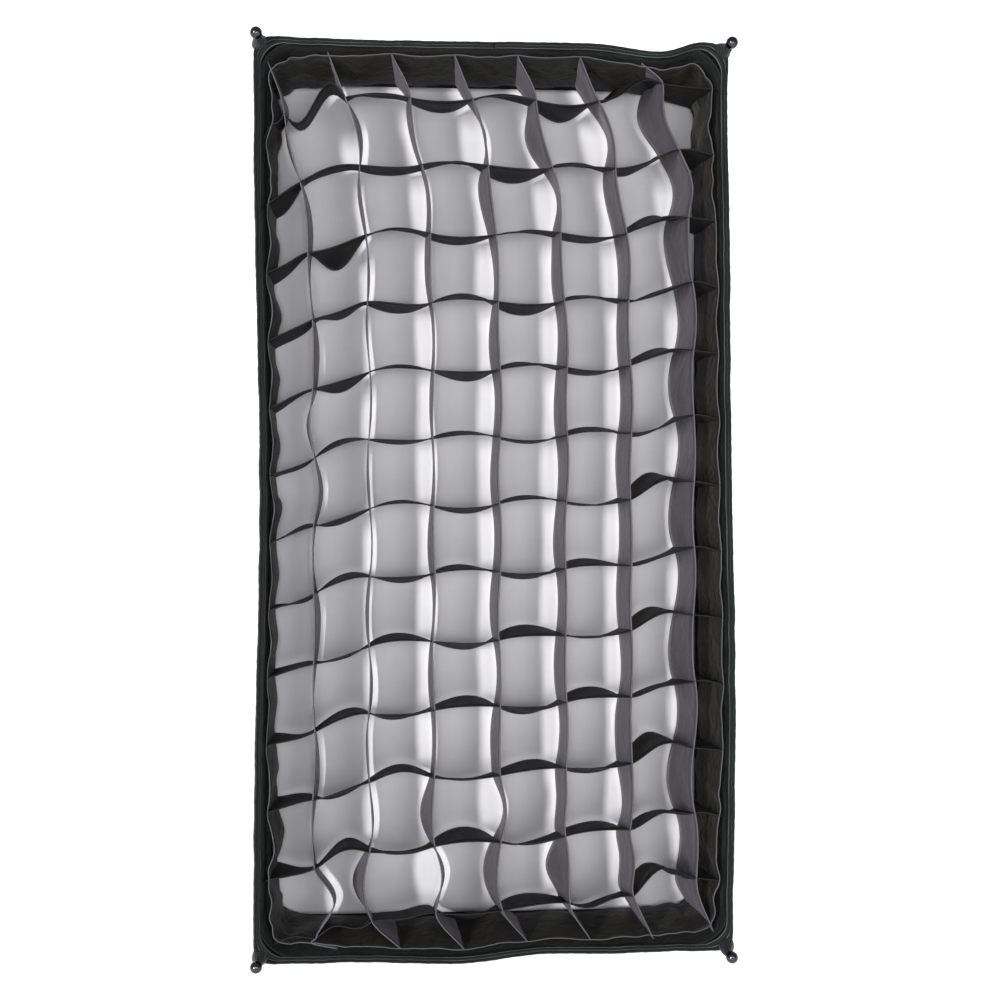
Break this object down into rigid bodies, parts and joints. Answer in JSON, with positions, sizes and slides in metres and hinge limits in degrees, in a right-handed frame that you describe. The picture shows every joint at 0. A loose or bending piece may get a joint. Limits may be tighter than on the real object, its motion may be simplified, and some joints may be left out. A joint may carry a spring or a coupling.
{
  "type": "strip softbox",
  "caption": "Tall rectangular softbox with bowed tension rods, ball rod tips, recessed white diffuser, cloth egg-crate grid and a rotating bayonet speed ring.",
  "frame": {"origin": "centre of the bayonet insert's seating face, on the optical axis", "axes": "-Y the way the light leaves, +Y towards the light head, +Z along the long side"},
  "size_m": [0.368, 0.4315, 0.7024],
  "materials": {
    "ring_metal": "black anodised",
    "holder_metal": "black powder coat",
    "fastener_steel": "zinc plated",
    "pad_brass": "turned",
    "knob_plastic": "moulded",
    "rod_steel": "drawn spring steel",
    "ball_metal": "dark nickel",
    "webbing": "woven nylon",
    "shell_cloth": "black nylon, silver coated inside",
    "hem_binding": "woven binding",
    "lip_cloth": "black woven nylon",
    "loop_tape": "brushed loop tape",
    "elastic": "woven elastic",
    "diffusion_cloth": "white translucent nylon",
    "hook_border": "black woven tape with hook backing",
    "grid_cloth": "black woven nylon"
  },
  "bodies": {
    "insert": {"bayonet_insert": "ring_metal", "retaining_plate": "ring_metal", "retaining_screws": "fastener_steel"},
    "box": {"speed_ring": "ring_metal", "holder_screws": "fastener_steel", "rear_collar": "shell_cloth", "rear_panel": "shell_cloth", "shell_panel_top": "shell_cloth", "shell_panel_bottom": "shell_cloth", "shell_panel_left": "shell_cloth", "shell_panel_right": "shell_cloth", "rim_hem": "hem_binding", "lip_lining": "lip_cloth", "lip_loop_tapes": "loop_tape", "baffle_patches": "loop_tape", "rod_holder_top_left": "holder_metal", "rod_holder_top_right": "holder_metal", "rod_holder_bottom_left": "holder_metal", "rod_holder_bottom_right": "holder_metal", "rod_top_left": "rod_steel", "rod_top_right": "rod_steel", "rod_bottom_left": "rod_steel", "rod_bottom_right": "rod_steel", "ball_tip_top_left": "ball_metal", "ball_tip_top_right": "ball_metal", "ball_tip_bottom_left": "ball_metal", "ball_tip_bottom_right": "ball_metal", "corner_tab_top_left": "webbing", "corner_tab_top_right": "webbing", "corner_tab_bottom_left": "webbing", "corner_tab_bottom_right": "webbing"},
    "lock_pad": {"lock_pad": "pad_brass"},
    "lock_screw": {"lock_stud": "fastener_steel", "lock_knob": "knob_plastic"},
    "baffle": {"baffle_cloth": "diffusion_cloth", "baffle_edge_tape": "loop_tape", "baffle_straps": "elastic"},
    "diffuser": {"diffuser_cloth": "diffusion_cloth", "diffuser_border": "hook_border"},
    "grid": {"grid_border": "hook_border", "grid_cross_01": "grid_cloth", "grid_cross_02": "grid_cloth", "grid_cross_03": "grid_cloth", "grid_cross_04": "grid_cloth", "grid_cross_05": "grid_cloth", "grid_cross_06": "grid_cloth", "grid_cross_07": "grid_cloth", "grid_cross_08": "grid_cloth", "grid_cross_09": "grid_cloth", "grid_cross_10": "grid_cloth", "grid_cross_11": "grid_cloth", "grid_cross_12": "grid_cloth", "grid_cross_13": "grid_cloth", "grid_upright_1": "grid_cloth", "grid_upright_2": "grid_cloth", "grid_upright_3": "grid_cloth", "grid_upright_4": "grid_cloth", "grid_upright_5": "grid_cloth", "grid_upright_6": "grid_cloth", "grid_upright_7": "grid_cloth"}
  },
  "joints": [
    {"name": "box_turn", "type": "hinge", "parent": "insert", "child": "box", "pos_m": [0, 0, 0], "axis": [0, 1, 0], "continuous": true},
    {"name": "lock_press", "type": "slide", "parent": "box", "child": "lock_pad", "axis": [1, 0, 0], "range_m": [0, 0.0025]},
    {"name": "lock_turn", "type": "hinge", "parent": "lock_pad", "child": "lock_screw", "pos_m": [0.09, -0.014, 0], "axis": [1, 0, 0], "range_deg": [0, 720]},
    {"name": "baffle_off", "type": "slide", "parent": "box", "child": "baffle", "axis": [0, -1, 0], "range_m": [0, 0.26]},
    {"name": "diffuser_off", "type": "slide", "parent": "baffle", "child": "diffuser", "axis": [0, -1, 0], "range_m": [0, 0.11]},
    {"name": "grid_off", "type": "slide", "parent": "diffuser", "child": "grid", "axis": [0, -1, 0], "range_m": [0, 0.09]}
  ],
  "couplings": [
    {"joint": "lock_press", "follows": "lock_turn", "m_per_rad": 0.00015915}
  ]
}
